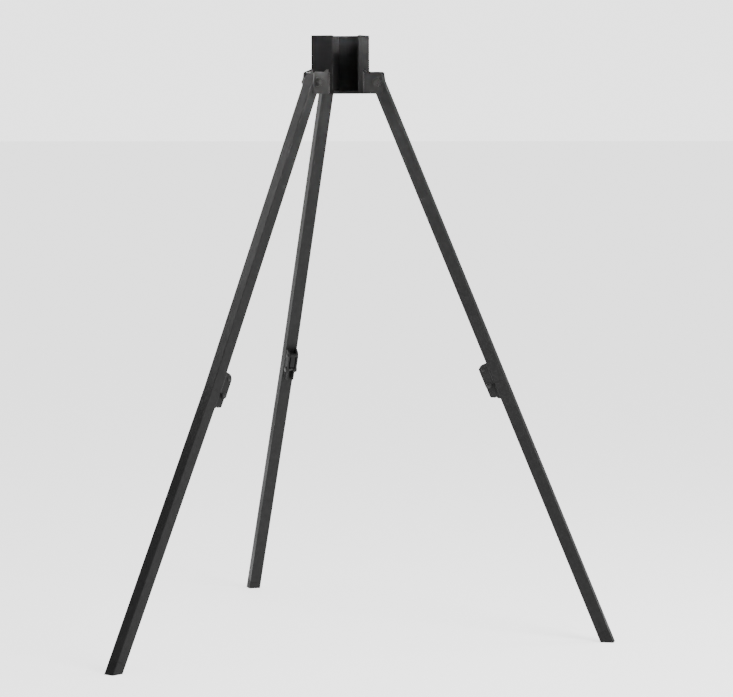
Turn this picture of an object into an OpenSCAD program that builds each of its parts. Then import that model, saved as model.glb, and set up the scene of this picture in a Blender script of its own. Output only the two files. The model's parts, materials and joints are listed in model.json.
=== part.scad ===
// Folding steel tripod stand with a square post socket, in millimetres.
// +Z up, the origin is the centre of the socket's floor and the Z axis is the socket's axis.
// The ground is at the bottom of the feet.
// One leg points along +X, the other two stand at plus and minus 120 degrees.

/* [Stand] */
// Height of the leg pivots above the ground
pivot_height = 1247.4; // [1200:1:1300]
// Distance of the leg pivots from the socket's axis
pivot_radius = 89.6; // [89.2:0.2:93]
// Splay of the right leg from vertical, degrees
splay_right = 22.61; // [20:0.05:26]
// Splay of the left leg from vertical, degrees
splay_left = 25.69; // [20:0.05:27]
// Splay of the rear leg from vertical, degrees
splay_rear = 26.74; // [20:0.05:27.5]

/* [Legs] */
// Outside width of the square leg tubes
tube = 27.2; // [26:0.2:27.6]
// Wall of the leg tubes
tube_wall = 1.6; // [1.2:0.1:2]
// Outside corner radius of the leg tubes
tube_corner = 2.2; // [2:0.1:2.6]
// Pivot to knee joint, right leg
knee_right = 722; // [705:1:740]
// Pivot to knee joint, left leg
knee_left = 739; // [720:1:750]
// Pivot to knee joint, rear leg
knee_rear = 744; // [725:1:755]
// Outward set of the left lower leg against its upper leg, degrees
set_left = 1.64; // [0:0.05:2]
// Outward set of the rear lower leg against its upper leg, degrees
set_rear = 1.66; // [0:0.05:2]

/* [Socket head] */
// Outside width of the square socket
box_w = 109.4; // [107:0.2:110]
// Sideways offset of the socket from the middle of the pivots
box_off = 3.2; // [1:0.1:3.4]
// Sheet thickness of the socket
box_wall = 3; // [2.5:0.1:3.5]
// Rim of the bent walls above the leg pivots
box_up = 104; // [98:0.5:110]
// Top of the front plate above the leg pivots
front_up = 104; // [98:0.5:112]
// Underside of the head below the leg pivots
box_down = 26.2; // [23:0.2:27]
// Width of the front plate
front_w = 48.5; // [40:0.5:52]
// Depth of the front plate's inward flange
flange_d = 62; // [20:1:80]
// Thickness of the base plate
base_t = 5; // [4:0.5:6]

/* [Clevises] */
// Thickness of each clevis ear
ear_t = 3; // [2.5:0.1:3.2]
// Outside width across a pair of ears
clevis_w = 34.4; // [34.2:0.1:36]
// Reach of the ears from the socket's axis
ear_reach = 103.4; // [102.4:0.2:107]
// Top of the ears above the pivots
ear_up = 22.6; // [18:0.2:26]
// Radius of the pivot bolts
bolt_r = 5; // [4.5:0.1:5.5]

/* [Knees] */
// Knee pin's offset inward from the tube's axis
pin_off = 27.5; // [27:0.1:29]
// Radius of the knee pins
pin_r = 4; // [3.5:0.1:4.5]
// Inward reach of the knee plates from the tube's axis
plate_reach = 35; // [34.5:0.1:35.6]
// Length of the upper knee plates
plate_up = 49; // [46:0.5:52]
// Length of the lower knee fins
fin_down = 28; // [24:0.5:28.5]
// Radius of the latch pins
latch_r = 2.5; // [2:0.1:3]

/* [Hidden] */
$fn = 64;
zp = box_down - base_t;
zg = zp - pivot_height;
az = [0, -120, 120];
splay = [splay_right, splay_left, splay_rear];
kd = [knee_right, knee_left, knee_rear];
kset = [0, set_left, set_rear];
h = tube / 2;
bolt_gap = 0.06;
bush_r = 9;
latch_z = 37;
latch_x = 26.5;

function pin_z(i) = pivot_height - kd[i] * cos(splay[i]) - pin_off * sin(splay[i]);
function low_len(i) = (pin_z(i) + pin_off * sin(splay[i] + kset[i])) / cos(splay[i] + kset[i]);

module upper_at(i) { rotate([0, 0, az[i]]) translate([pivot_radius, 0, zp]) rotate([0, -splay[i], 0]) children(); }
// frame of the lower leg: origin on its axis at the knee plane
module lower_at(i) { upper_at(i) translate([-pin_off, 0, -kd[i]]) rotate([0, -kset[i], 0]) translate([pin_off, 0, 0]) children(); }
module rsq(w, r) { square([w - 2 * r, w], center = true); square([w, w - 2 * r], center = true); for (a = [-1, 1], b = [-1, 1]) translate([a * (w / 2 - r), b * (w / 2 - r)]) circle(r = r); }
module tube_prism(len) { linear_extrude(height = len) difference() { rsq(tube, tube_corner); rsq(tube - 2 * tube_wall, tube_corner - tube_wall + 0.4); } }
// a cylinder along local Y, from y0 to y1
module ycyl(r, y0, y1) { translate([0, y0, 0]) rotate([-90, 0, 0]) cylinder(r = r, h = y1 - y0); }
// a 2D shape in X and Z, thick along Y from y0 to y1
module xz(y0, y1) { translate([0, y1, 0]) rotate([90, 0, 0]) linear_extrude(height = y1 - y0) children(); }

// ---- head ----
// square plate that closes the bottom of the socket, cut away for the front plate and its flange
module hub_base() {
    x0 = -box_w / 2 + box_wall + 0.05;
    x1 = -box_w / 2 + front_w;
    y1 = box_w / 2 - box_wall - 0.05;
    color([0.13, 0.13, 0.13]) translate([box_off, 0, zp - box_down]) linear_extrude(height = base_t) difference() {
        translate([x0, -box_w / 2]) square([box_w - 2 * box_wall - 0.1, y1 + box_w / 2]);
        translate([x0 - 1, -box_w / 2 - 1]) square([x1 - x0 + 1.05, box_wall + 1.05]);
        translate([x1 - box_wall - 0.05, -box_w / 2 - 1]) square([box_wall + 0.1, flange_d + 1.05]);
        translate([x1 - 4.2, -box_w / 2 + box_wall - 0.1]) square([1.3, 1.3]);
        for (m = [-1, 1]) translate([m * (box_w / 2 - box_wall), y1]) rotate(45) square(4.6, center = true);
    }
}
// left, back and right walls of the socket, bent from one sheet
module socket_box() {
    r = 6;
    color([0.12, 0.12, 0.12]) translate([box_off, 0, zp - box_down]) linear_extrude(height = box_up + box_down) difference() {
        union() {
            translate([-box_w / 2, -box_w / 2 + box_wall + 0.05]) square([box_wall, box_w - box_wall - r]);
            translate([box_w / 2 - box_wall, -box_w / 2]) square([box_wall, box_w - r]);
            translate([-box_w / 2 + r, box_w / 2 - box_wall]) square([box_w - 2 * r, box_wall]);
            translate([-box_w / 2 + r, box_w / 2 - r]) intersection() { difference() { circle(r = r); circle(r = r - box_wall); } translate([-r, 0]) square([r, r]); }
            translate([box_w / 2 - r, box_w / 2 - r]) intersection() { difference() { circle(r = r); circle(r = r - box_wall); } square([r, r]); }
        }
    }
}
// front plate on the left of the opening, with a flange turned into the socket
module front_plate() {
    x1 = -box_w / 2 + front_w;
    z0 = zp - box_down;
    rc = 6;
    color([0.12, 0.12, 0.12]) translate([box_off, 0, z0]) difference() {
        linear_extrude(height = front_up + box_down) {
            translate([-box_w / 2, -box_w / 2]) square([front_w - 2, box_wall]);
            translate([x1 - box_wall, -box_w / 2 + 2]) square([box_wall, flange_d - 2]);
            intersection() { translate([x1 - 4, -box_w / 2 + 4]) difference() { circle(r = 4); circle(r = 1); } translate([x1 - 4, -box_w / 2]) square([4, 4]); }
        }
        // the flange is lower than the plate's face
        translate([x1 - box_wall - 0.01, -box_w / 2 + 4, front_up + box_down - 3]) cube([box_wall + 1, flange_d + 2, 20]);
        translate([-box_w / 2 - 1, -box_w / 2 - 1, front_up + box_down - 2.5]) difference() { cube([3.5, 6, 4]); translate([3.5, 0, 0]) rotate([-90, 0, 0]) cylinder(r = 2.5, h = 6); }
    }
}
// the plan of one ear, run back to the socket's faces
module ear(side, rise) {
    y0 = side > 0 ? clevis_w / 2 - ear_t : -clevis_w / 2;
    rr = 5;
    difference() {
        xz(y0, y0 + ear_t) translate([0, zp]) {
            polygon([[30, -box_down], [ear_reach - 4, -box_down], [ear_reach, -box_down + 4], [ear_reach, -6], [ear_reach - 3.5, ear_up - rr], [ear_reach - 3.5 - rr, ear_up], [30, ear_up]]);
            if (rise > 0) polygon([[50, 0], [50, ear_up + 7], [72, ear_up + 7], [96, ear_up - 0.01], [96, 0]]);
            if (rise == 0) polygon([[50, 0], [50, ear_up + 6], [58, ear_up + 6], [67, ear_up - 0.01], [67, 0]]);
            translate([ear_reach - 3.6 - rr, ear_up - rr]) circle(r = rr);
            translate([ear_reach - 4, -box_down + 4]) circle(r = 4);
        }
        translate([pivot_radius, 0, zp]) ycyl(bolt_r + 0.25, y0 - 1, y0 + ear_t + 1);
    }
}
module clevis(i) {
    color([0.14, 0.14, 0.14]) difference() {
        rotate([0, 0, az[i]]) { ear(1, i == 2 ? 1 : 0); ear(-1, i == 1 ? 1 : 0); }
        translate([box_off - box_w / 2 - 0.05, -box_w / 2 - 0.05, zp - box_down - 5]) cube([box_w + 0.1, box_w + 0.1, box_down + ear_up + 20]);
    }
}
// two ears that carry the right leg
module clevis_right() { clevis(0); }
// two ears that carry the left leg
module clevis_left() { clevis(1); }
// two ears that carry the rear leg
module clevis_rear() { clevis(2); }
// hexagon-head bolts that the legs turn on
module pivot_bolts() {
    color([0.25, 0.25, 0.25]) for (i = [0:2]) rotate([0, 0, az[i]]) translate([pivot_radius, 0, zp]) {
        ycyl(bolt_r, -clevis_w / 2 - 1.9, clevis_w / 2 + 9.6);
        translate([0, -clevis_w / 2 - 1.7, 0]) rotate([90, 0, 0]) cylinder(r = 9.2, h = 5.4, $fn = 6);
    }
}
// locking nuts on the bolts' far ends
module pivot_nuts() {
    color([0.22, 0.22, 0.22]) for (i = [0:2]) rotate([0, 0, az[i]]) translate([pivot_radius, clevis_w / 2 + 1.7, zp]) {
        difference() { rotate([-90, 0, 0]) cylinder(r = 9.2, h = 6.6, $fn = 6); ycyl(bolt_r + 0.05, -1, 8); }
    }
}
// flat washers outside the ears
module pivot_washers() {
    color([0.3, 0.3, 0.3]) for (i = [0:2], s = [-1, 1]) rotate([0, 0, az[i]]) translate([pivot_radius, 0, zp])
        difference() { ycyl(10.5, s > 0 ? clevis_w / 2 + 0.05 : -clevis_w / 2 - 1.65, s > 0 ? clevis_w / 2 + 1.65 : -clevis_w / 2 - 0.05); ycyl(bolt_r + 0.12, -40, 40); }
}

// ---- legs ----
module upper_tube(i) {
    color([0.13, 0.13, 0.13]) upper_at(i) difference() {
        translate([0, 0, -kd[i] + 0.12]) tube_prism(kd[i] + 12);
        ycyl(bush_r, -30, 30);
    }
}
// turned bush across the tube, flanged by its ends, that the bolt runs in
module pivot_bush(i) {
    e = (clevis_w - 2 * ear_t) / 2 - 0.15;
    color([0.2, 0.2, 0.2]) upper_at(i) difference() {
        union() {
            ycyl(bush_r - 0.05, -h, h);
            ycyl(bush_r + 2, h + 0.05, e);
            ycyl(bush_r + 2, -e, -h - 0.05);
            ycyl(bush_r - 0.05, -e + 0.2, e - 0.2);
        }
        ycyl(bolt_r + bolt_gap, -30, 30);
    }
}
// plastic plug in the tube's top end
module top_plug(i) {
    w = tube - 2 * tube_wall - 0.2;
    color([0.08, 0.08, 0.08]) upper_at(i) translate([0, 0, 12.4]) {
        translate([0, 0, 0]) linear_extrude(height = 1.8) translate([0, 0]) rsq(tube - 0.6, 1.9);
        translate([0, 0, -3]) linear_extrude(height = 3.1) rsq(w, 1);
    }
}
// outline of an upper knee plate
module up_plate2d() {
    translate([-plate_reach, 1]) square([plate_reach - h - 0.05, plate_up - 14]);
    translate([-plate_reach + 13, 1]) square([plate_reach - h - 13.05, plate_up - 1]);
    translate([-plate_reach + 13, plate_up - 13]) circle(r = 13);
    translate([-pin_off, 0]) circle(r = plate_reach - pin_off);
}
// two plates welded to the inner face of the upper tube
module upper_plates(i) {
    color([0.15, 0.15, 0.15]) upper_at(i) translate([0, 0, -kd[i]]) {
        translate([-h - 2.55, -8.15, 3]) cube([2.5, 16.3, plate_up - 14]);
        for (s = [0, 1]) mirror([0, s, 0]) difference() {
        intersection() { xz(8.2, 12) up_plate2d(); translate([-60, 0, -60]) cube([60 - h - 0.05, 40, 140]); }
        translate([-pin_off, 0, 0]) ycyl(pin_r + 0.05, 5, 15);
        translate([-latch_x, 0, latch_z]) ycyl(latch_r + 0.05, 5, 15);
        }
    }
}
// headed pin that the lower leg folds on
module knee_pin(i) {
    color([0.3, 0.3, 0.3]) upper_at(i) translate([-pin_off, 0, -kd[i]]) {
        ycyl(pin_r, -13.2, 13.2);
        ycyl(6.2, 12.05, 13.8);
        ycyl(6.2, -13.8, -12.05);
    }
}
// rivet that the latch lever rocks on
module latch_pin(i) {
    color([0.3, 0.3, 0.3]) upper_at(i) translate([-latch_x, 0, -kd[i] + latch_z]) {
        ycyl(latch_r, -12.8, 12.8);
        ycyl(4.4, 12.05, 13.2);
        ycyl(4.4, -13.2, -12.05);
    }
}
module tail2d() { translate([-5.3, 3.2]) circle(r = 3.7); translate([-6.2, 0.4]) square([5, 6.5]); }
// rocking latch with a thumb tail at the top and a nose down to the knee pin
module latch_lever(i) {
    color([0.1, 0.1, 0.1]) upper_at(i) translate([-latch_x, 0, -kd[i] + latch_z]) difference() {
        union() {
            xz(-5.3, 5.3) {
                circle(r = 6);
                translate([-8.2, -28.2]) square([11, 28]);
                translate([-8.2, -2]) square([8, 5.2]);
                tail2d();
            }
            xz(-7.8, 7.8) difference() { tail2d(); circle(r = 4.2); }
        }
        ycyl(latch_r + 0.06, -20, 20);
        translate([-1, 0, -latch_z]) ycyl(pin_r + 5, -20, 20);
    }
}
module lower_tube(i) {
    color([0.13, 0.13, 0.13]) difference() {
        lower_at(i) translate([0, 0, -low_len(i) + 26]) tube_prism(low_len(i) - 26 + 4);
        // the top end is cut along the joint's plane
        upper_at(i) translate([-60, -60, -kd[i] - 0.12]) cube([120, 120, 60]);
    }
}
// outline of a lower knee fin
module fin2d(i) {
    a = 0.3 + 14 * tan(kset[i]);
    polygon([[-plate_reach + 5, 2], [-h - 0.6, 2], [-h - 0.6, -a], [-h - 0.05, -a], [-h - 0.05, -fin_down - 8], [-h - 2, -fin_down - 8], [-plate_reach + 5, -fin_down]]);
    translate([-plate_reach, -fin_down + 5]) square([8, fin_down - 5]);
    translate([-plate_reach + 5, -fin_down + 5]) circle(r = 5);
    translate([-pin_off, 0]) circle(r = plate_reach - pin_off);
}
// two fins welded to the inner face of the lower tube
module lower_fins(i) {
    color([0.15, 0.15, 0.15]) lower_at(i) for (s = [0, 1]) mirror([0, s, 0]) difference() {
        xz(5.6, 7.9) difference() { fin2d(i); translate([-h - 9.5, -fin_down - 4.2]) circle(r = 2.6); }
        translate([-pin_off, 0, 0]) ycyl(pin_r + 0.06, 4, 10);
    }
}
// moulded foot, plugged into the tube and cut flat where it stands on the ground
module foot_cap(i) {
    w = tube - 2 * tube_wall - 0.2;
    color([0.07, 0.07, 0.07]) intersection() {
        lower_at(i) translate([0, 0, -low_len(i)]) {
            translate([0, 0, -20]) linear_extrude(height = 45.9) rsq(tube, tube_corner);
            translate([0, 0, 25]) linear_extrude(height = 26) rsq(w, 1);
        }
        translate([-1200, -1200, zg]) cube([2400, 2400, 300]);
    }
}

// right leg's upper tube
module upper_tube_right() { upper_tube(0); }
// left leg's upper tube
module upper_tube_left() { upper_tube(1); }
// rear leg's upper tube
module upper_tube_rear() { upper_tube(2); }
// right leg's pivot bush
module pivot_bush_right() { pivot_bush(0); }
// left leg's pivot bush
module pivot_bush_left() { pivot_bush(1); }
// rear leg's pivot bush
module pivot_bush_rear() { pivot_bush(2); }
// right leg's top plug
module top_plug_right() { top_plug(0); }
// left leg's top plug
module top_plug_left() { top_plug(1); }
// rear leg's top plug
module top_plug_rear() { top_plug(2); }
// right knee's upper plates
module upper_plates_right() { upper_plates(0); }
// left knee's upper plates
module upper_plates_left() { upper_plates(1); }
// rear knee's upper plates
module upper_plates_rear() { upper_plates(2); }
// right knee's pin
module knee_pin_right() { knee_pin(0); }
// left knee's pin
module knee_pin_left() { knee_pin(1); }
// rear knee's pin
module knee_pin_rear() { knee_pin(2); }
// right knee's latch rivet
module latch_pin_right() { latch_pin(0); }
// left knee's latch rivet
module latch_pin_left() { latch_pin(1); }
// rear knee's latch rivet
module latch_pin_rear() { latch_pin(2); }
// right knee's latch lever
module latch_lever_right() { latch_lever(0); }
// left knee's latch lever
module latch_lever_left() { latch_lever(1); }
// rear knee's latch lever
module latch_lever_rear() { latch_lever(2); }
// right leg's lower tube
module lower_tube_right() { lower_tube(0); }
// left leg's lower tube
module lower_tube_left() { lower_tube(1); }
// rear leg's lower tube
module lower_tube_rear() { lower_tube(2); }
// right knee's lower fins
module lower_fins_right() { lower_fins(0); }
// left knee's lower fins
module lower_fins_left() { lower_fins(1); }
// rear knee's lower fins
module lower_fins_rear() { lower_fins(2); }
// right foot
module foot_cap_right() { foot_cap(0); }
// left foot
module foot_cap_left() { foot_cap(1); }
// rear foot
module foot_cap_rear() { foot_cap(2); }

hub_base();
socket_box();
front_plate();
clevis_right();
clevis_left();
clevis_rear();
pivot_bolts();
pivot_nuts();
pivot_washers();
upper_tube_right();
upper_tube_left();
upper_tube_rear();
pivot_bush_right();
pivot_bush_left();
pivot_bush_rear();
top_plug_right();
top_plug_left();
top_plug_rear();
upper_plates_right();
upper_plates_left();
upper_plates_rear();
knee_pin_right();
knee_pin_left();
knee_pin_rear();
latch_pin_right();
latch_pin_left();
latch_pin_rear();
latch_lever_right();
latch_lever_left();
latch_lever_rear();
lower_tube_right();
lower_tube_left();
lower_tube_rear();
lower_fins_right();
lower_fins_left();
lower_fins_rear();
foot_cap_right();
foot_cap_left();
foot_cap_rear();
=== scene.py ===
import json
import math
import random

import bmesh
import bpy
import numpy as np
from mathutils import Matrix, Vector


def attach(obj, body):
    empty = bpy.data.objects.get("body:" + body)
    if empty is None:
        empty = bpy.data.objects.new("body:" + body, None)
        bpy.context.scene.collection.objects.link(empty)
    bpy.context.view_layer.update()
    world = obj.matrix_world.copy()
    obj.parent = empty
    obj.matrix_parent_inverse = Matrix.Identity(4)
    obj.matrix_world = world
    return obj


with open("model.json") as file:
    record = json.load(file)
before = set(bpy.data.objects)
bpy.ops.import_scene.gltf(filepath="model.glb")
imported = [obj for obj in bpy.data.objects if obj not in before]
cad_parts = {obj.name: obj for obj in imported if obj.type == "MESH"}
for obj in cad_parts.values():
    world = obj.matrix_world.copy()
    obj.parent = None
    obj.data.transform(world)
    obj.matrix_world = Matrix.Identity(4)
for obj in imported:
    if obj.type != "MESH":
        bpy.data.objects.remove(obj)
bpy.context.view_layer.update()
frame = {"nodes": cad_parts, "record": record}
RECORD = frame["record"]
MM = 0.001


# ------------------------------------------------------------------ sizes, in mm
PIVOT_H, PIVOT_R = 1247.4, 89.6
ZP = 21.2
ZG = ZP - PIVOT_H
TUBE, WALL, CORNER = 27.2, 1.6, 2.2
H = TUBE / 2
BOX_W, BOX_WALL, BOX_UP, BOX_DOWN, BASE_T = 109.4, 3.0, 104.0, 26.2, 5.0
BOX_OFF, FRONT_W, FLANGE_D = 3.2, 48.5, 62.0
CLEVIS_W, EAR_T, EAR_REACH, EAR_UP = 34.4, 3.0, 103.4, 22.6
BOLT_R, PIN_OFF, PIN_R, REACH = 5.0, 27.5, 4.0, 35.0
PLATE_UP, FIN_DOWN = 49.0, 28.0
LATCH_X, LATCH_Z = 26.5, 37.0
LEGS = {
    "right": dict(az=0.0, splay=22.61, kset=0.0, kd=722.0),
    "left": dict(az=-120.0, splay=25.69, kset=1.64, kd=739.0),
    "rear": dict(az=120.0, splay=26.74, kset=1.66, kd=744.0),
}


def ry(deg):
    return Matrix.Rotation(math.radians(deg), 4, "Y")


def rz(deg):
    return Matrix.Rotation(math.radians(deg), 4, "Z")


def tr(x, y, z):
    return Matrix.Translation((x, y, z))


for leg in LEGS.values():
    s, k = math.radians(leg["splay"]), math.radians(leg["kset"])
    leg["hub"] = rz(leg["az"])
    leg["upper"] = rz(leg["az"]) @ tr(PIVOT_R, 0, ZP) @ ry(-leg["splay"])
    leg["lower"] = (
        leg["upper"] @ tr(-PIN_OFF, 0, -leg["kd"]) @ ry(-leg["kset"]) @ tr(PIN_OFF, 0, 0)
    )
    zpin = PIVOT_H - leg["kd"] * math.cos(s) - PIN_OFF * math.sin(s)
    leg["len"] = (zpin + PIN_OFF * math.sin(s + k)) / math.cos(s + k)
    leg["start"] = 0.45 + (PIN_OFF + H + 0.4) * math.tan(k)


# ------------------------------------------------------------------ materials
def new_mat(name):
    m = bpy.data.materials.new(name)
    m.use_nodes = True
    nt = m.node_tree
    nt.nodes.clear()
    out = nt.nodes.new("ShaderNodeOutputMaterial")
    bs = nt.nodes.new("ShaderNodeBsdfPrincipled")
    nt.links.new(bs.outputs[0], out.inputs[0])
    return m, nt, bs


def noise(nt, coord, scale, detail=4.0, rough=0.55):
    n = nt.nodes.new("ShaderNodeTexNoise")
    n.inputs["Scale"].default_value = scale
    n.inputs["Detail"].default_value = detail
    n.inputs["Roughness"].default_value = rough
    nt.links.new(coord, n.inputs["Vector"])
    return n.outputs["Fac"]


def ramp(nt, fac, stops):
    r = nt.nodes.new("ShaderNodeValToRGB")
    e = r.color_ramp.elements
    while len(e) < len(stops):
        e.new(0.5)
    for el, (p, c) in zip(e, stops):
        el.position = p
        el.color = (*([c] * 3 if isinstance(c, float) else c), 1)
    nt.links.new(fac, r.inputs[0])
    return r.outputs[0]


def maprange(nt, fac, lo, hi, a=0.0, b=1.0):
    m = nt.nodes.new("ShaderNodeMapRange")
    m.inputs["From Min"].default_value = a
    m.inputs["From Max"].default_value = b
    m.inputs["To Min"].default_value = lo
    m.inputs["To Max"].default_value = hi
    nt.links.new(fac, m.inputs["Value"])
    return m.outputs[0]


def bump(nt, bs, heights):
    last = None
    for h, strength, dist in heights:
        b = nt.nodes.new("ShaderNodeBump")
        b.inputs["Strength"].default_value = strength
        b.inputs["Distance"].default_value = dist
        nt.links.new(h, b.inputs["Height"])
        if last is not None:
            nt.links.new(last, b.inputs["Normal"])
        last = b.outputs[0]
    nt.links.new(last, bs.inputs["Normal"])


def coord(nt):
    return nt.nodes.new("ShaderNodeTexCoord").outputs["Object"]


def powder_coat(name, dark, light, rough=(0.36, 0.5), peel=0.16, dust=0.0, spec=0.25):
    """Black satin powder coat: fine orange peel, faint handling marks and thin dust."""
    m, nt, bs = new_mat(name)
    c = coord(nt)
    big = noise(nt, c, 9.0, 3.0)
    mid = noise(nt, c, 70.0, 5.0)
    fine = noise(nt, c, 900.0, 2.0)
    speck = noise(nt, c, 2600.0, 1.0)
    col = ramp(nt, mid, [(0.3, dark), (0.72, light)])
    if dust:
        mix = nt.nodes.new("ShaderNodeMixRGB")
        mix.inputs["Color2"].default_value = (0.16, 0.155, 0.145, 1)
        nt.links.new(col, mix.inputs["Color1"])
        nt.links.new(maprange(nt, big, 0.0, dust, 0.45, 0.8), mix.inputs["Fac"])
        col = mix.outputs[0]
    nt.links.new(col, bs.inputs["Base Color"])
    nt.links.new(maprange(nt, big, *rough, 0.3, 0.7), bs.inputs["Roughness"])
    bs.inputs["Specular IOR Level"].default_value = spec
    bump(nt, bs, [(fine, peel, 0.0004), (speck, peel * 0.5, 0.0001)])
    return m


def dark_steel(name, base, rough):
    """Black-oxide or zinc-black fastener steel with fine turning marks."""
    m, nt, bs = new_mat(name)
    c = coord(nt)
    a = noise(nt, c, 160.0, 6.0)
    b = noise(nt, c, 1400.0, 3.0)
    nt.links.new(ramp(nt, a, [(0.3, base), (0.75, base * 1.9)]), bs.inputs["Base Color"])
    nt.links.new(maprange(nt, b, rough - 0.08, rough + 0.12, 0.3, 0.7), bs.inputs["Roughness"])
    bs.inputs["Metallic"].default_value = 0.85
    bump(nt, bs, [(b, 0.25, 0.0001)])
    return m


def moulded(name, base, rough, grain=0.3, scale=1200.0):
    """Moulded black plastic or rubber with a fine grain."""
    m, nt, bs = new_mat(name)
    c = coord(nt)
    v = nt.nodes.new("ShaderNodeTexVoronoi")
    v.inputs["Scale"].default_value = scale
    nt.links.new(c, v.inputs["Vector"])
    a = noise(nt, c, 60.0, 4.0)
    nt.links.new(ramp(nt, a, [(0.3, base), (0.8, base * 1.7)]), bs.inputs["Base Color"])
    nt.links.new(maprange(nt, a, rough - 0.06, rough + 0.08, 0.3, 0.7), bs.inputs["Roughness"])
    bs.inputs["Specular IOR Level"].default_value = 0.2
    bump(nt, bs, [(v.outputs["Distance"], grain, 0.0002), (noise(nt, c, 300.0), 0.1, 0.0003)])
    return m


def weld_mat(name):
    """Weld bead under the powder coat: glossier, with a lumpy run."""
    m, nt, bs = new_mat(name)
    c = coord(nt)
    a = noise(nt, c, 420.0, 4.0)
    nt.links.new(ramp(nt, a, [(0.3, 0.007), (0.75, 0.012)]), bs.inputs["Base Color"])
    bs.inputs["Specular IOR Level"].default_value = 0.25
    bs.inputs["Roughness"].default_value = 0.36
    bump(nt, bs, [(a, 0.5, 0.0005)])
    return m


MATS = {
    "head_coat": powder_coat("head_coat", 0.0078, 0.0112, (0.5, 0.62), 0.2, 0.012, 0.0),
    # darker copy of the head coat used only on the front plate: painted shade, the plate is the same coat as the
    # socket
    "front_coat_painted_shade": powder_coat("front_coat_painted_shade", 0.0047, 0.0067, (0.5, 0.62), 0.2, 0.008, 0.0),
    "leg_coat": powder_coat("leg_coat", 0.0135, 0.018, (0.4, 0.54), 0.16, 0.014, 0.06),
    "lever_coat": powder_coat("lever_coat", 0.009, 0.012, (0.42, 0.55), 0.2, 0.0, 0.08),
    "dark_steel": dark_steel("dark_steel", 0.02, 0.36),
    "bush_plastic": moulded("bush_plastic", 0.005, 0.42, 0.15),
    "plug_plastic": moulded("plug_plastic", 0.004, 0.5, 0.3),
    "foot_rubber": moulded("foot_rubber", 0.004, 0.62, 0.35, 900.0),
    "weld": weld_mat("weld"),
    # lighter, glossier copy of the head coat for the bevel faces: painted highlight on the edges
    "head_edge_painted_highlight": powder_coat("head_edge_painted_highlight", 0.035, 0.045, (0.3, 0.4), 0.1, 0.0, 0.5),
}
SLOT = {s["node"]: s["material_slot"] for s in RECORD["subparts"]}

# ------------------------------------------------------------------ CAD nodes: finish and edge rounding
for node, obj in frame["nodes"].items():
    # the front plate takes the darker copy of the head coat: painted shade
    mat = MATS[{"front_plate": "front_coat_painted_shade"}.get(node, SLOT[node])]
    for sl in obj.material_slots:
        sl.material = mat
    if not obj.material_slots:
        obj.data.materials.append(mat)
    w = {"socket_box": 0.9, "front_plate": 0.9, "hub_base": 0.7}.get(node, 0.4)
    if node.startswith(("upper_tube", "lower_tube")):
        w = 0.3
    if node.startswith("foot_cap"):
        w = 1.6
    if node.startswith("top_plug"):
        w = 0.8
    bev = obj.modifiers.new("edges", "BEVEL")
    if SLOT[node] == "head_coat":
        # the bevel faces get a lighter, glossier copy of the coat: the lighter colour is a painted highlight along the
        # sheet's edges
        obj.data.materials.append(MATS["head_edge_painted_highlight"])
        bev.material = len(obj.data.materials) - 1
    bev.width = w * MM
    bev.segments = 3
    bev.limit_method = "ANGLE"
    bev.angle_limit = math.radians(35)
    bev.harden_normals = False
    bev.use_clamp_overlap = True
    bev.miter_outer = "MITER_SHARP"


# ------------------------------------------------------------------ mesh helpers (sizes in mm, in a local frame)
def make(name, verts, faces, M, mat, body, smooth=True):
    me = bpy.data.meshes.new(name)
    me.from_pydata([(M @ Vector(v)) * MM for v in verts], [], faces)
    me.validate()
    bm = bmesh.new()
    bm.from_mesh(me)
    bmesh.ops.recalc_face_normals(bm, faces=bm.faces)
    bm.to_mesh(me)
    bm.free()
    if smooth:
        for p in me.polygons:
            p.use_smooth = True
    o = bpy.data.objects.new(name, me)
    bpy.context.scene.collection.objects.link(o)
    me.materials.append(mat)
    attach(o, body)
    return o


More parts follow.
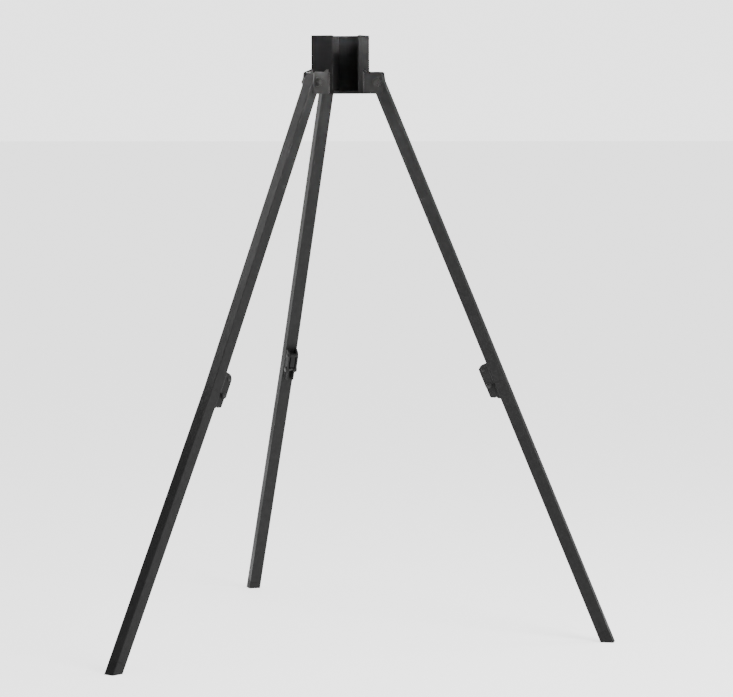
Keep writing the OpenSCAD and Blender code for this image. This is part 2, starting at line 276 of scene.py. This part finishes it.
class Build:
    """Collects several closed shells into one mesh."""

    def __init__(self):
        self.v, self.f = [], []

    def add(self, verts, faces):
        n = len(self.v)
        self.v += [tuple(p) for p in verts]
        self.f += [tuple(i + n for i in f) for f in faces]

    def tube(self, pts, radii, n=10, cap=True, flat=None):
        """Sweeps a circle along pts; radii is one number or a list."""
        pts = [Vector(p) for p in pts]
        if not hasattr(radii, "__len__"):
            radii = [radii] * len(pts)
        rings = []
        up = None
        for i, p in enumerate(pts):
            t = (pts[min(i + 1, len(pts) - 1)] - pts[max(i - 1, 0)]).normalized()
            if up is None:
                up = t.orthogonal().normalized()
            up = (up - t * up.dot(t)).normalized()
            side = t.cross(up)
            rings.append(
                [
                    p + (up * math.cos(a) + side * math.sin(a)) * radii[i]
                    for a in (2 * math.pi * j / n for j in range(n))
                ]
            )
        verts = [v for r in rings for v in r]
        faces = []
        for i in range(len(rings) - 1):
            for j in range(n):
                a, b = i * n + j, i * n + (j + 1) % n
                faces.append((a, b, b + n, a + n))
        if cap:
            faces.append(tuple(range(n - 1, -1, -1)))
            faces.append(tuple(range((len(rings) - 1) * n, len(rings) * n)))
        self.add(verts, faces)

    def bead(self, a, b, r=1.6, seed=0, pitch=2.2, wobble=0.25):
        """A weld bead between two points: a swept rounded run with ripples and soft ends."""
        rnd = random.Random(seed)
        a, b = Vector(a), Vector(b)
        L = (b - a).length
        n = max(8, int(L / pitch * 5))
        t = (b - a).normalized()
        o1 = t.orthogonal().normalized()
        o2 = t.cross(o1)
        pts, rad = [], []
        w1, w2 = rnd.random() * 6, rnd.random() * 6
        for i in range(n + 1):
            u = i / n
            d = u * L
            end = min(1.0, math.sqrt(max(0.0, min(d, L - d)) / (r * 1.1)) + 0.15)
            ripple = 1 + 0.1 * abs(math.sin(math.pi * d / pitch)) + 0.05 * math.sin(d * 0.31 + w1)
            pts.append(a + t * d + (o1 * math.sin(d * 0.43 + w1) + o2 * math.cos(d * 0.37 + w2)) * wobble * 0.4)
            rad.append(r * end * ripple)
        self.tube(pts, rad, 12)

    def lathe(self, prof, n=48, axis="Y", centre=(0, 0, 0), close=False):
        """Turns (r, h) pairs round an axis through centre."""
        cx, cy, cz = centre
        verts = []
        for r, h in prof:
            for j in range(n):
                a = 2 * math.pi * j / n
                p, q = r * math.cos(a), r * math.sin(a)
                verts.append((cx + p, cy + h, cz + q) if axis == "Y" else (cx + p, cy + q, cz + h))
        faces = []
        m = len(prof)
        for i in range(m - 1 + (1 if close else 0)):
            for j in range(n):
                a, b = i * n + j, i * n + (j + 1) % n
                c, d = ((i + 1) % m) * n + (j + 1) % n, ((i + 1) % m) * n + j
                faces.append((a, b, c, d))
        if not close:
            faces.append(tuple(range(n - 1, -1, -1)))
            faces.append(tuple(range((m - 1) * n, m * n)))
        self.add(verts, faces)

    def out(self, name, M, mat, body, slot, smooth=True):
        return make(name, self.v, self.f, M, MATS[mat], body, smooth)


# ------------------------------------------------------------------ head: welds
def head_welds():
    b = Build()
    z0, z1 = ZP - BOX_DOWN, ZP + BOX_UP
    x1 = -BOX_W / 2
    # front plate to the left wall, three short runs down the inside corner
    for i, (za, zb) in enumerate([(z0 + 6, z0 + 30), (z0 + 52, z0 + 74), (z1 - 28, z1 - 5)]):
        b.bead((x1 + BOX_WALL + 0.6, -BOX_W / 2 + BOX_WALL + 0.6, za), (x1 + BOX_WALL + 0.6, -BOX_W / 2 + BOX_WALL + 0.6, zb), 1.7, i)
    # walls to the base, inside the socket
    zi = z0 + BASE_T + 0.3
    for i, (p, q) in enumerate(
        [
            ((x1 + BOX_WALL + 0.4, -40), (x1 + BOX_WALL + 0.4, 40)),
            ((-40, BOX_W / 2 - BOX_WALL - 0.4), (40, BOX_W / 2 - BOX_WALL - 0.4)),
            ((BOX_W / 2 - BOX_WALL - 0.4, -40), (BOX_W / 2 - BOX_WALL - 0.4, 40)),
            ((x1 + FRONT_W + 0.2, -50), (x1 + FRONT_W + 0.2, 4)),
        ]
    ):
        b.bead((*p, zi), (*q, zi), 1.3, 20 + i)
    return b.out("head_welds", tr(BOX_OFF, 0, 0), "weld", "hub", "head_coat")


def clevis_welds(name, leg):
    """Vertical beads where each ear meets the socket's wall, inside and outside the ear."""
    b = Build()
    a = math.radians(leg["az"])
    d = Vector((math.cos(a), math.sin(a), 0))
    e = Vector((-math.sin(a), math.cos(a), 0))
    half = BOX_W / 2
    seed = 0
    for side in (-1, 1):
        for t in (side * (CLEVIS_W / 2 + 0.2), side * (CLEVIS_W / 2 - EAR_T - 0.2)):
            best = None
            for r10 in range(400, 1000):
                r = r10 / 10
                p = d * r + e * t
                if max(abs(p.x - BOX_OFF), abs(p.y)) >= half + 0.35:
                    best = p
                    break
            if best is None:
                continue
            rad = 1.9 if abs(t) > CLEVIS_W / 2 else 1.3
            top = ZP + EAR_UP - 0.6
            b.bead((best.x, best.y, ZP - BOX_DOWN + 1), (best.x, best.y, top), rad, 40 + seed)
            seed += 1
    return b.out("clevis_welds_" + name, Matrix(), "weld", "hub", "head_coat")


head_welds()
for name, leg in LEGS.items():
    clevis_welds(name, leg)


# ------------------------------------------------------------------ pivot bolts: chamfered heads, threads, nylon rings
def pivot_dress(name, leg):
    M = leg["hub"] @ tr(PIVOT_R, 0, ZP)
    y1 = CLEVIS_W / 2
    b = Build()
    # threaded tail past the nut
    n, p0, p1, pitch = 36, y1 + 1.8, y1 + 9.6, 1.5
    m = 44
    rows = []
    for i in range(m + 1):
        y = p0 + (p1 - p0) * i / m
        rows.append([])
        for j in range(n):
            ph = (y / pitch - j / n) % 1.0
            r = BOLT_R + 0.02 + 0.24 * (1 - abs(2 * ph - 1)) - 0.1
            if i > m - 4:
                r -= 0.22 * (i - m + 4)
            a = 2 * math.pi * j / n
            rows[-1].append((r * math.cos(a), y + (0.05 if i == m else 0), r * math.sin(a)))
    verts = [v for r in rows for v in r]
    faces = [(i * n + j, i * n + (j + 1) % n, (i + 1) * n + (j + 1) % n, (i + 1) * n + j) for i in range(m) for j in range(n)]
    faces += [tuple(range(n - 1, -1, -1)), tuple(range(m * n, (m + 1) * n))]
    b.add(verts, faces)
    b.out("bolt_thread_" + name, M, "dark_steel", "hub", "dark_steel")
    c = Build()
    # washer face and domed head top
    yh = -(CLEVIS_W / 2) - 1.7 - 5.4
    c.lathe([(0.1, yh - 0.55), (3.0, yh - 0.5), (6.6, yh - 0.25), (7.6, yh + 0.05), (7.6, yh + 0.4), (0.1, yh + 0.4)], 40)
    c.out("bolt_crown_" + name, M, "dark_steel", "hub", "dark_steel")
    d = Build()
    yn = y1 + 1.7 + 6.6
    d.lathe([(BOLT_R + 0.35, yn - 0.6), (7.4, yn - 0.6), (7.4, yn + 0.5), (6.6, yn + 1.2), (5.9, yn + 1.3), (BOLT_R + 0.35, yn + 0.7)], 40, close=True)
    d.out("nut_ring_" + name, M, "plug_plastic", "hub", "dark_steel")


for name, leg in LEGS.items():
    pivot_dress(name, leg)


# ------------------------------------------------------------------ knees
def knee_dress(name, leg):
    U = leg["upper"] @ tr(0, 0, -leg["kd"])
    Lw = leg["lower"]
    b = Build()
    for side in (-1, 1):
        b.bead((-H - 0.5, side * 12.1, 2), (-H - 0.5, side * 12.1, PLATE_UP - 2), 1.1, 3 + side)
    b.out("upper_plate_welds_" + name, U, "weld", "upper_leg_" + name, "leg_coat")
    c = Build()
    for side in (-1, 1):
        c.bead((-H - 0.6, side * 8.3, -FIN_DOWN - 7), (-H - 0.6, side * 8.3, -4.5), 1.2, 13 + side)
    c.out("lower_fin_welds_" + name, Lw, "weld", "lower_leg_" + name, "leg_coat")
    # torsion spring on the latch rivet, beside the lever
    s = Build()
    pts = []
    turns, r = 2.1, 3.35
    y0 = 5.9
    nn = int(turns * 28)
    for i in range(nn + 1):
        a = 2 * math.pi * turns * i / nn
        pts.append((-LATCH_X + r * math.cos(a), y0 + 1.75 * i / nn, LATCH_Z + r * math.sin(a)))
    last = pts[-1]
    pts = pts + [(last[0] + 3.2, last[1] + 0.1, last[2] + 2.2), (-H - 1.0, last[1] + 0.1, last[2] + 3.5)]
    s.tube(pts, 0.4, 8)
    s.out("latch_spring_" + name, U, "dark_steel", "upper_leg_" + name, "dark_steel")
    # black moulded cap over the thumb tail, with grip ridges
    g = Build()
    cx, cz, rr = -LATCH_X - 5.3, LATCH_Z + 3.2, 3.7
    prof = [(cx + (rr + 0.45) * math.cos(math.radians(a)), cz + (rr + 0.45) * math.sin(math.radians(a))) for a in range(80, 281, 10)]
    back = [(cx + (rr - 0.5) * math.cos(math.radians(a)), cz + (rr - 0.5) * math.sin(math.radians(a))) for a in range(280, 79, -10)]
    loop = prof + back
    m = len(loop)
    rows = []
    for t, k in ((-7.9, 0.25), (-7.6, 0.0), (7.6, 0.0), (7.9, 0.25)):
        rows.append([(cx + (x - cx) * (1 - k * 0.2), t, cz + (z - cz) * (1 - k * 0.2)) for x, z in loop])
    verts = [v for r in rows for v in r]
    faces = [(i * m + j, i * m + (j + 1) % m, (i + 1) * m + (j + 1) % m, (i + 1) * m + j) for i in range(3) for j in range(m)]
    h2 = len(prof)
    for base in (0, 3 * m):
        faces += [(base + j, base + j + 1, base + m - 2 - j, base + m - 1 - j) for j in range(h2 - 1)]
    g.add(verts, faces)
    for i in range(6):
        a = math.radians(100 + i * 28)
        x, z = cx + (rr + 0.42) * math.cos(a), cz + (rr + 0.42) * math.sin(a)
        g.tube([(x, -7.3 + 14.6 * k / 8, z) for k in range(9)], [0.25] + [0.42] * 7 + [0.25], 8)
    g.out("latch_grip_" + name, U, "plug_plastic", "latch_" + name, "lever_coat")
    # domed ends on the knee pin and the latch rivet
    d = Build()
    for side in (-1, 1):
        d.lathe([(0.1, side * 14.7), (2.4, side * 14.6), (4.3, side * 14.2), (5.4, side * 13.75), (5.4, side * 13.3), (0.1, side * 13.3)], 36, centre=(-PIN_OFF, 0, 0))
        d.lathe([(0.1, side * 13.9), (1.8, side * 13.8), (3.1, side * 13.5), (3.8, side * 13.15), (3.8, side * 12.9), (0.1, side * 12.9)], 32, centre=(-LATCH_X, 0, LATCH_Z))
    d.out("pin_domes_" + name, U, "dark_steel", "upper_leg_" + name, "dark_steel")


for name, leg in LEGS.items():
    knee_dress(name, leg)


# ------------------------------------------------------------------ feet: a parting collar round each foot cap
def rounded_square(w, r, n=6):
    pts = []
    for cx, cy, a0 in ((1, 1, 0), (-1, 1, 90), (-1, -1, 180), (1, -1, 270)):
        for i in range(n + 1):
            a = math.radians(a0 + 90 * i / n)
            pts.append(((w / 2 - r) * cx + r * math.cos(a), (w / 2 - r) * cy + r * math.sin(a)))
    return pts


def foot_dress(name, leg):
    M = leg["lower"] @ tr(0, 0, -leg["len"])
    b = Build()
    # parting collar where the moulding meets the tube
    for z, r in ((24.9, 0.42),):
        ring = [(x, y, z) for x, y in rounded_square(TUBE - 0.1, CORNER)]
        ring.append(ring[0])
        ring.append(ring[1])
        b.tube(ring, r, 8, cap=False)
    b.out("foot_collar_" + name, M, "foot_rubber", "lower_leg_" + name, "foot_rubber")


for name, leg in LEGS.items():
    foot_dress(name, leg)

# ------------------------------------------------------------------ floor, lights, camera
AZ = 12.77
Z0 = ZG * MM


def around(az, dist, z):
    a = math.radians(az)
    return (math.sin(a) * dist, -math.cos(a) * dist, z)


bpy.ops.mesh.primitive_plane_add(size=160, location=(0, 0, Z0 - 0.0005))
floor = bpy.context.object
floor.name = "floor"
fm, fnt, fbs = new_mat("floor_mat")
fbs.inputs["Base Color"].default_value = (0.86, 0.86, 0.86, 1)
fbs.inputs["Roughness"].default_value = 0.95
fbs.inputs["Specular IOR Level"].default_value = 0.05
fbs.inputs["Emission Color"].default_value = (1, 1, 1, 1)
fbs.inputs["Emission Strength"].default_value = 1.95
floor.data.materials.append(fm)

# studio surround: a bright white backdrop on the far side and a dimmer room behind the lights
world = bpy.data.worlds.new("studio")
bpy.context.scene.world = world
world.use_nodes = True
wn = world.node_tree
bg = wn.nodes["Background"]
wc = wn.nodes.new("ShaderNodeTexCoord")
wd = wn.nodes.new("ShaderNodeVectorMath")
wd.operation = "DOT_PRODUCT"
wd.inputs[1].default_value = (-math.sin(math.radians(AZ)), math.cos(math.radians(AZ)), 0)
wn.links.new(wc.outputs["Generated"], wd.inputs[0])
wm = wn.nodes.new("ShaderNodeMapRange")
wm.interpolation_type = "SMOOTHSTEP"
wm.inputs["From Min"].default_value = 0.965
wm.inputs["From Max"].default_value = 0.989
wm.inputs["To Min"].default_value = 0.4
wm.inputs["To Max"].default_value = 2.7
wn.links.new(wd.outputs["Value"], wm.inputs["Value"])
bg.inputs[0].default_value = (1, 1, 1, 1)
wn.links.new(wm.outputs[0], bg.inputs[1])


def area(name, loc, target, size, power, spread=180, color=(1, 1, 1)):
    L = bpy.data.lights.new(name, "AREA")
    L.shape = "RECTANGLE"
    L.size, L.size_y = size
    L.energy = power
    L.color = color
    L.spread = math.radians(spread)
    o = bpy.data.objects.new(name, L)
    o.location = loc
    o.rotation_euler = (Vector(target) - Vector(loc)).to_track_quat("-Z", "Y").to_euler()
    bpy.context.scene.collection.objects.link(o)
    return o


area("left_box", around(AZ - 90, 1.7, 0.2), (0, 0, 0.16), (0.9, 0.45), 15, 62)
area("right_box", around(AZ + 100, 2.6, 0.9), (0, 0, -0.4), (1.2, 2.2), 26)
area("front_box", around(AZ + 38, 2.8, 1.3), (0, 0, -0.5), (1.4, 1.4), 115)
area("head_box", around(AZ + 66, 1.7, 1.3), (0, 0, 0.24), (0.24, 0.24), 5.2, 8)
area("head_front", around(AZ + 9, 9.0, 0.3), (0, 0, 0.05), (0.5, 0.5), 0.9, 4)
area("top_box", (0.2, -0.3, 2.6), (0, 0, -0.4), (1.8, 1.8), 30)

U = 2.268e-3
cam = bpy.data.cameras.new("camera")
cam.sensor_width = 36
cam.lens = 3300 * 36 / 733
cam.clip_start, cam.clip_end = 0.05, 200
co = bpy.data.objects.new("camera", cam)
bpy.context.scene.collection.objects.link(co)
co.location = around(AZ, 3273.6 * U, Z0 + 536.2 * U)
pitch, yaw, roll = 4.375, math.degrees(math.atan(26.1 / 3300.0)), -0.195
co.rotation_mode = "QUATERNION"
co.rotation_quaternion = (
    rz(AZ - yaw) @ Matrix.Rotation(math.radians(90 - pitch), 4, "X") @ rz(roll)
).to_quaternion()
bpy.context.scene.camera = co
